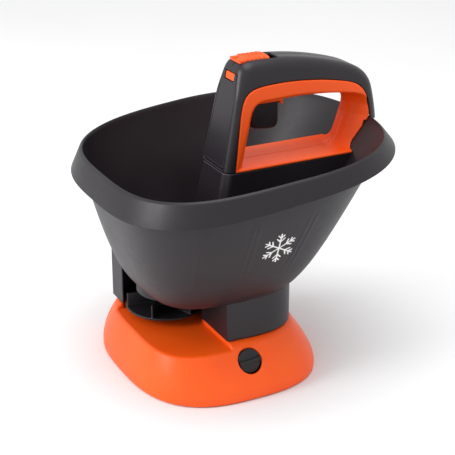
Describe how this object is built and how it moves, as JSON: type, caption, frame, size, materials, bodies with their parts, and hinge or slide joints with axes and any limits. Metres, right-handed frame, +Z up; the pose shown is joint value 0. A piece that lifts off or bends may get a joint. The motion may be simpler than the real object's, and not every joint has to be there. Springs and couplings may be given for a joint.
{
  "type": "handheld salt spreader",
  "caption": "Handheld battery salt spreader: open hopper over a throwing disc, weighted base with speed dial, and an arched handle with finger trigger and battery door.",
  "frame": {"origin": "centre of the bounding box's footprint, at the level of the feet", "axes": "+Z up, -Y the front where salt is thrown out, +X the side with the speed dial"},
  "size_m": [0.282, 0.2938, 0.2992],
  "materials": {
    "black_plastic": "satin moulded plastic with a fine grain",
    "dark_plastic": "satin moulded plastic",
    "orange_plastic": "satin moulded plastic",
    "rubber": "matt",
    "steel": "zinc plated",
    "cell_jacket": "gloss sleeve",
    "board": "solder mask",
    "wire": "soft jacket"
  },
  "bodies": {
    "body": {"base_plate": "dark_plastic", "base_screw_1": "steel", "base_screw_2": "steel", "base_screw_3": "steel", "base_screw_4": "steel", "base_shell": "orange_plastic", "battery_cell_1": "cell_jacket", "battery_cell_2": "cell_jacket", "battery_cell_3": "cell_jacket", "battery_cell_4": "cell_jacket", "battery_tray": "dark_plastic", "clamp_screw_1": "steel", "clamp_screw_2": "steel", "contact_plate": "steel", "contact_spring_left": "steel", "contact_spring_right": "steel", "control_board": "board", "dial_pot": "steel", "door_hinge_pin": "steel", "foot_1": "rubber", "foot_2": "rubber", "foot_3": "rubber", "foot_4": "rubber", "grip_liner_left": "orange_plastic", "grip_liner_right": "orange_plastic", "guide_screw_1": "steel", "guide_screw_2": "steel", "handle_left": "black_plastic", "handle_right": "black_plastic", "handle_screw_1": "steel", "handle_screw_2": "steel", "handle_screw_3": "steel", "hopper": "black_plastic", "latch_spring": "steel", "microswitch": "dark_plastic", "motor": "steel", "motor_clamp": "steel", "neck_housing": "black_plastic", "pedestal": "black_plastic", "pedestal_screw_1": "steel", "pedestal_screw_2": "steel", "shaft_seal": "rubber", "shutter_guide": "dark_plastic", "stack_screw_1": "steel", "stack_screw_2": "steel", "stack_screw_3": "steel", "trigger_spring": "steel", "wire_loom": "wire"},
    "door": {"battery_door": "black_plastic"},
    "latch": {"latch_slider": "orange_plastic"},
    "trigger": {"trigger": "dark_plastic"},
    "rod": {"control_rod": "steel"},
    "shutter": {"shutter_plate": "steel"},
    "rotor": {"drive_shaft": "steel", "impeller": "dark_plastic", "agitator": "dark_plastic"},
    "dial": {"speed_dial": "black_plastic"}
  },
  "joints": [
    {"name": "door_hinge", "type": "hinge", "parent": "body", "child": "door", "pos_m": [0, -0.02229, 0.19856], "axis": [1, 0, 0], "range_deg": [0, 90]},
    {"name": "latch_slide", "type": "slide", "parent": "body", "child": "latch", "axis": [0, 1, 0], "range_m": [0, 0.007], "stiffness_N_per_m": 250, "springref_m": -0.008, "deforming": ["latch_spring"]},
    {"name": "trigger_press", "type": "slide", "parent": "body", "child": "trigger", "axis": [0, 0, 1], "range_m": [0, 0.006], "stiffness_N_per_m": 300, "springref_m": -0.008, "deforming": ["trigger_spring"]},
    {"name": "rod_lift", "type": "slide", "parent": "body", "child": "rod", "axis": [0, 0.2033, 0.9791], "range_m": [0, 0.00614]},
    {"name": "shutter_slide", "type": "slide", "parent": "body", "child": "shutter", "axis": [0, 1, 0], "range_m": [0, 0.00702]},
    {"name": "rotor_spin", "type": "hinge", "parent": "body", "child": "rotor", "pos_m": [-0.019, -0.0673, 0.05], "axis": [0, 0, 1], "continuous": true},
    {"name": "dial_turn", "type": "hinge", "parent": "body", "child": "dial", "pos_m": [0.0885, -0.0316, 0.0312], "axis": [0.9135, 0, 0.4067], "range_deg": [-135, 135]}
  ],
  "couplings": [
    {"joint": "rod_lift", "follows": "trigger_press", "ratio": 1.0213},
    {"joint": "shutter_slide", "follows": "trigger_press", "ratio": 1.1667}
  ]
}
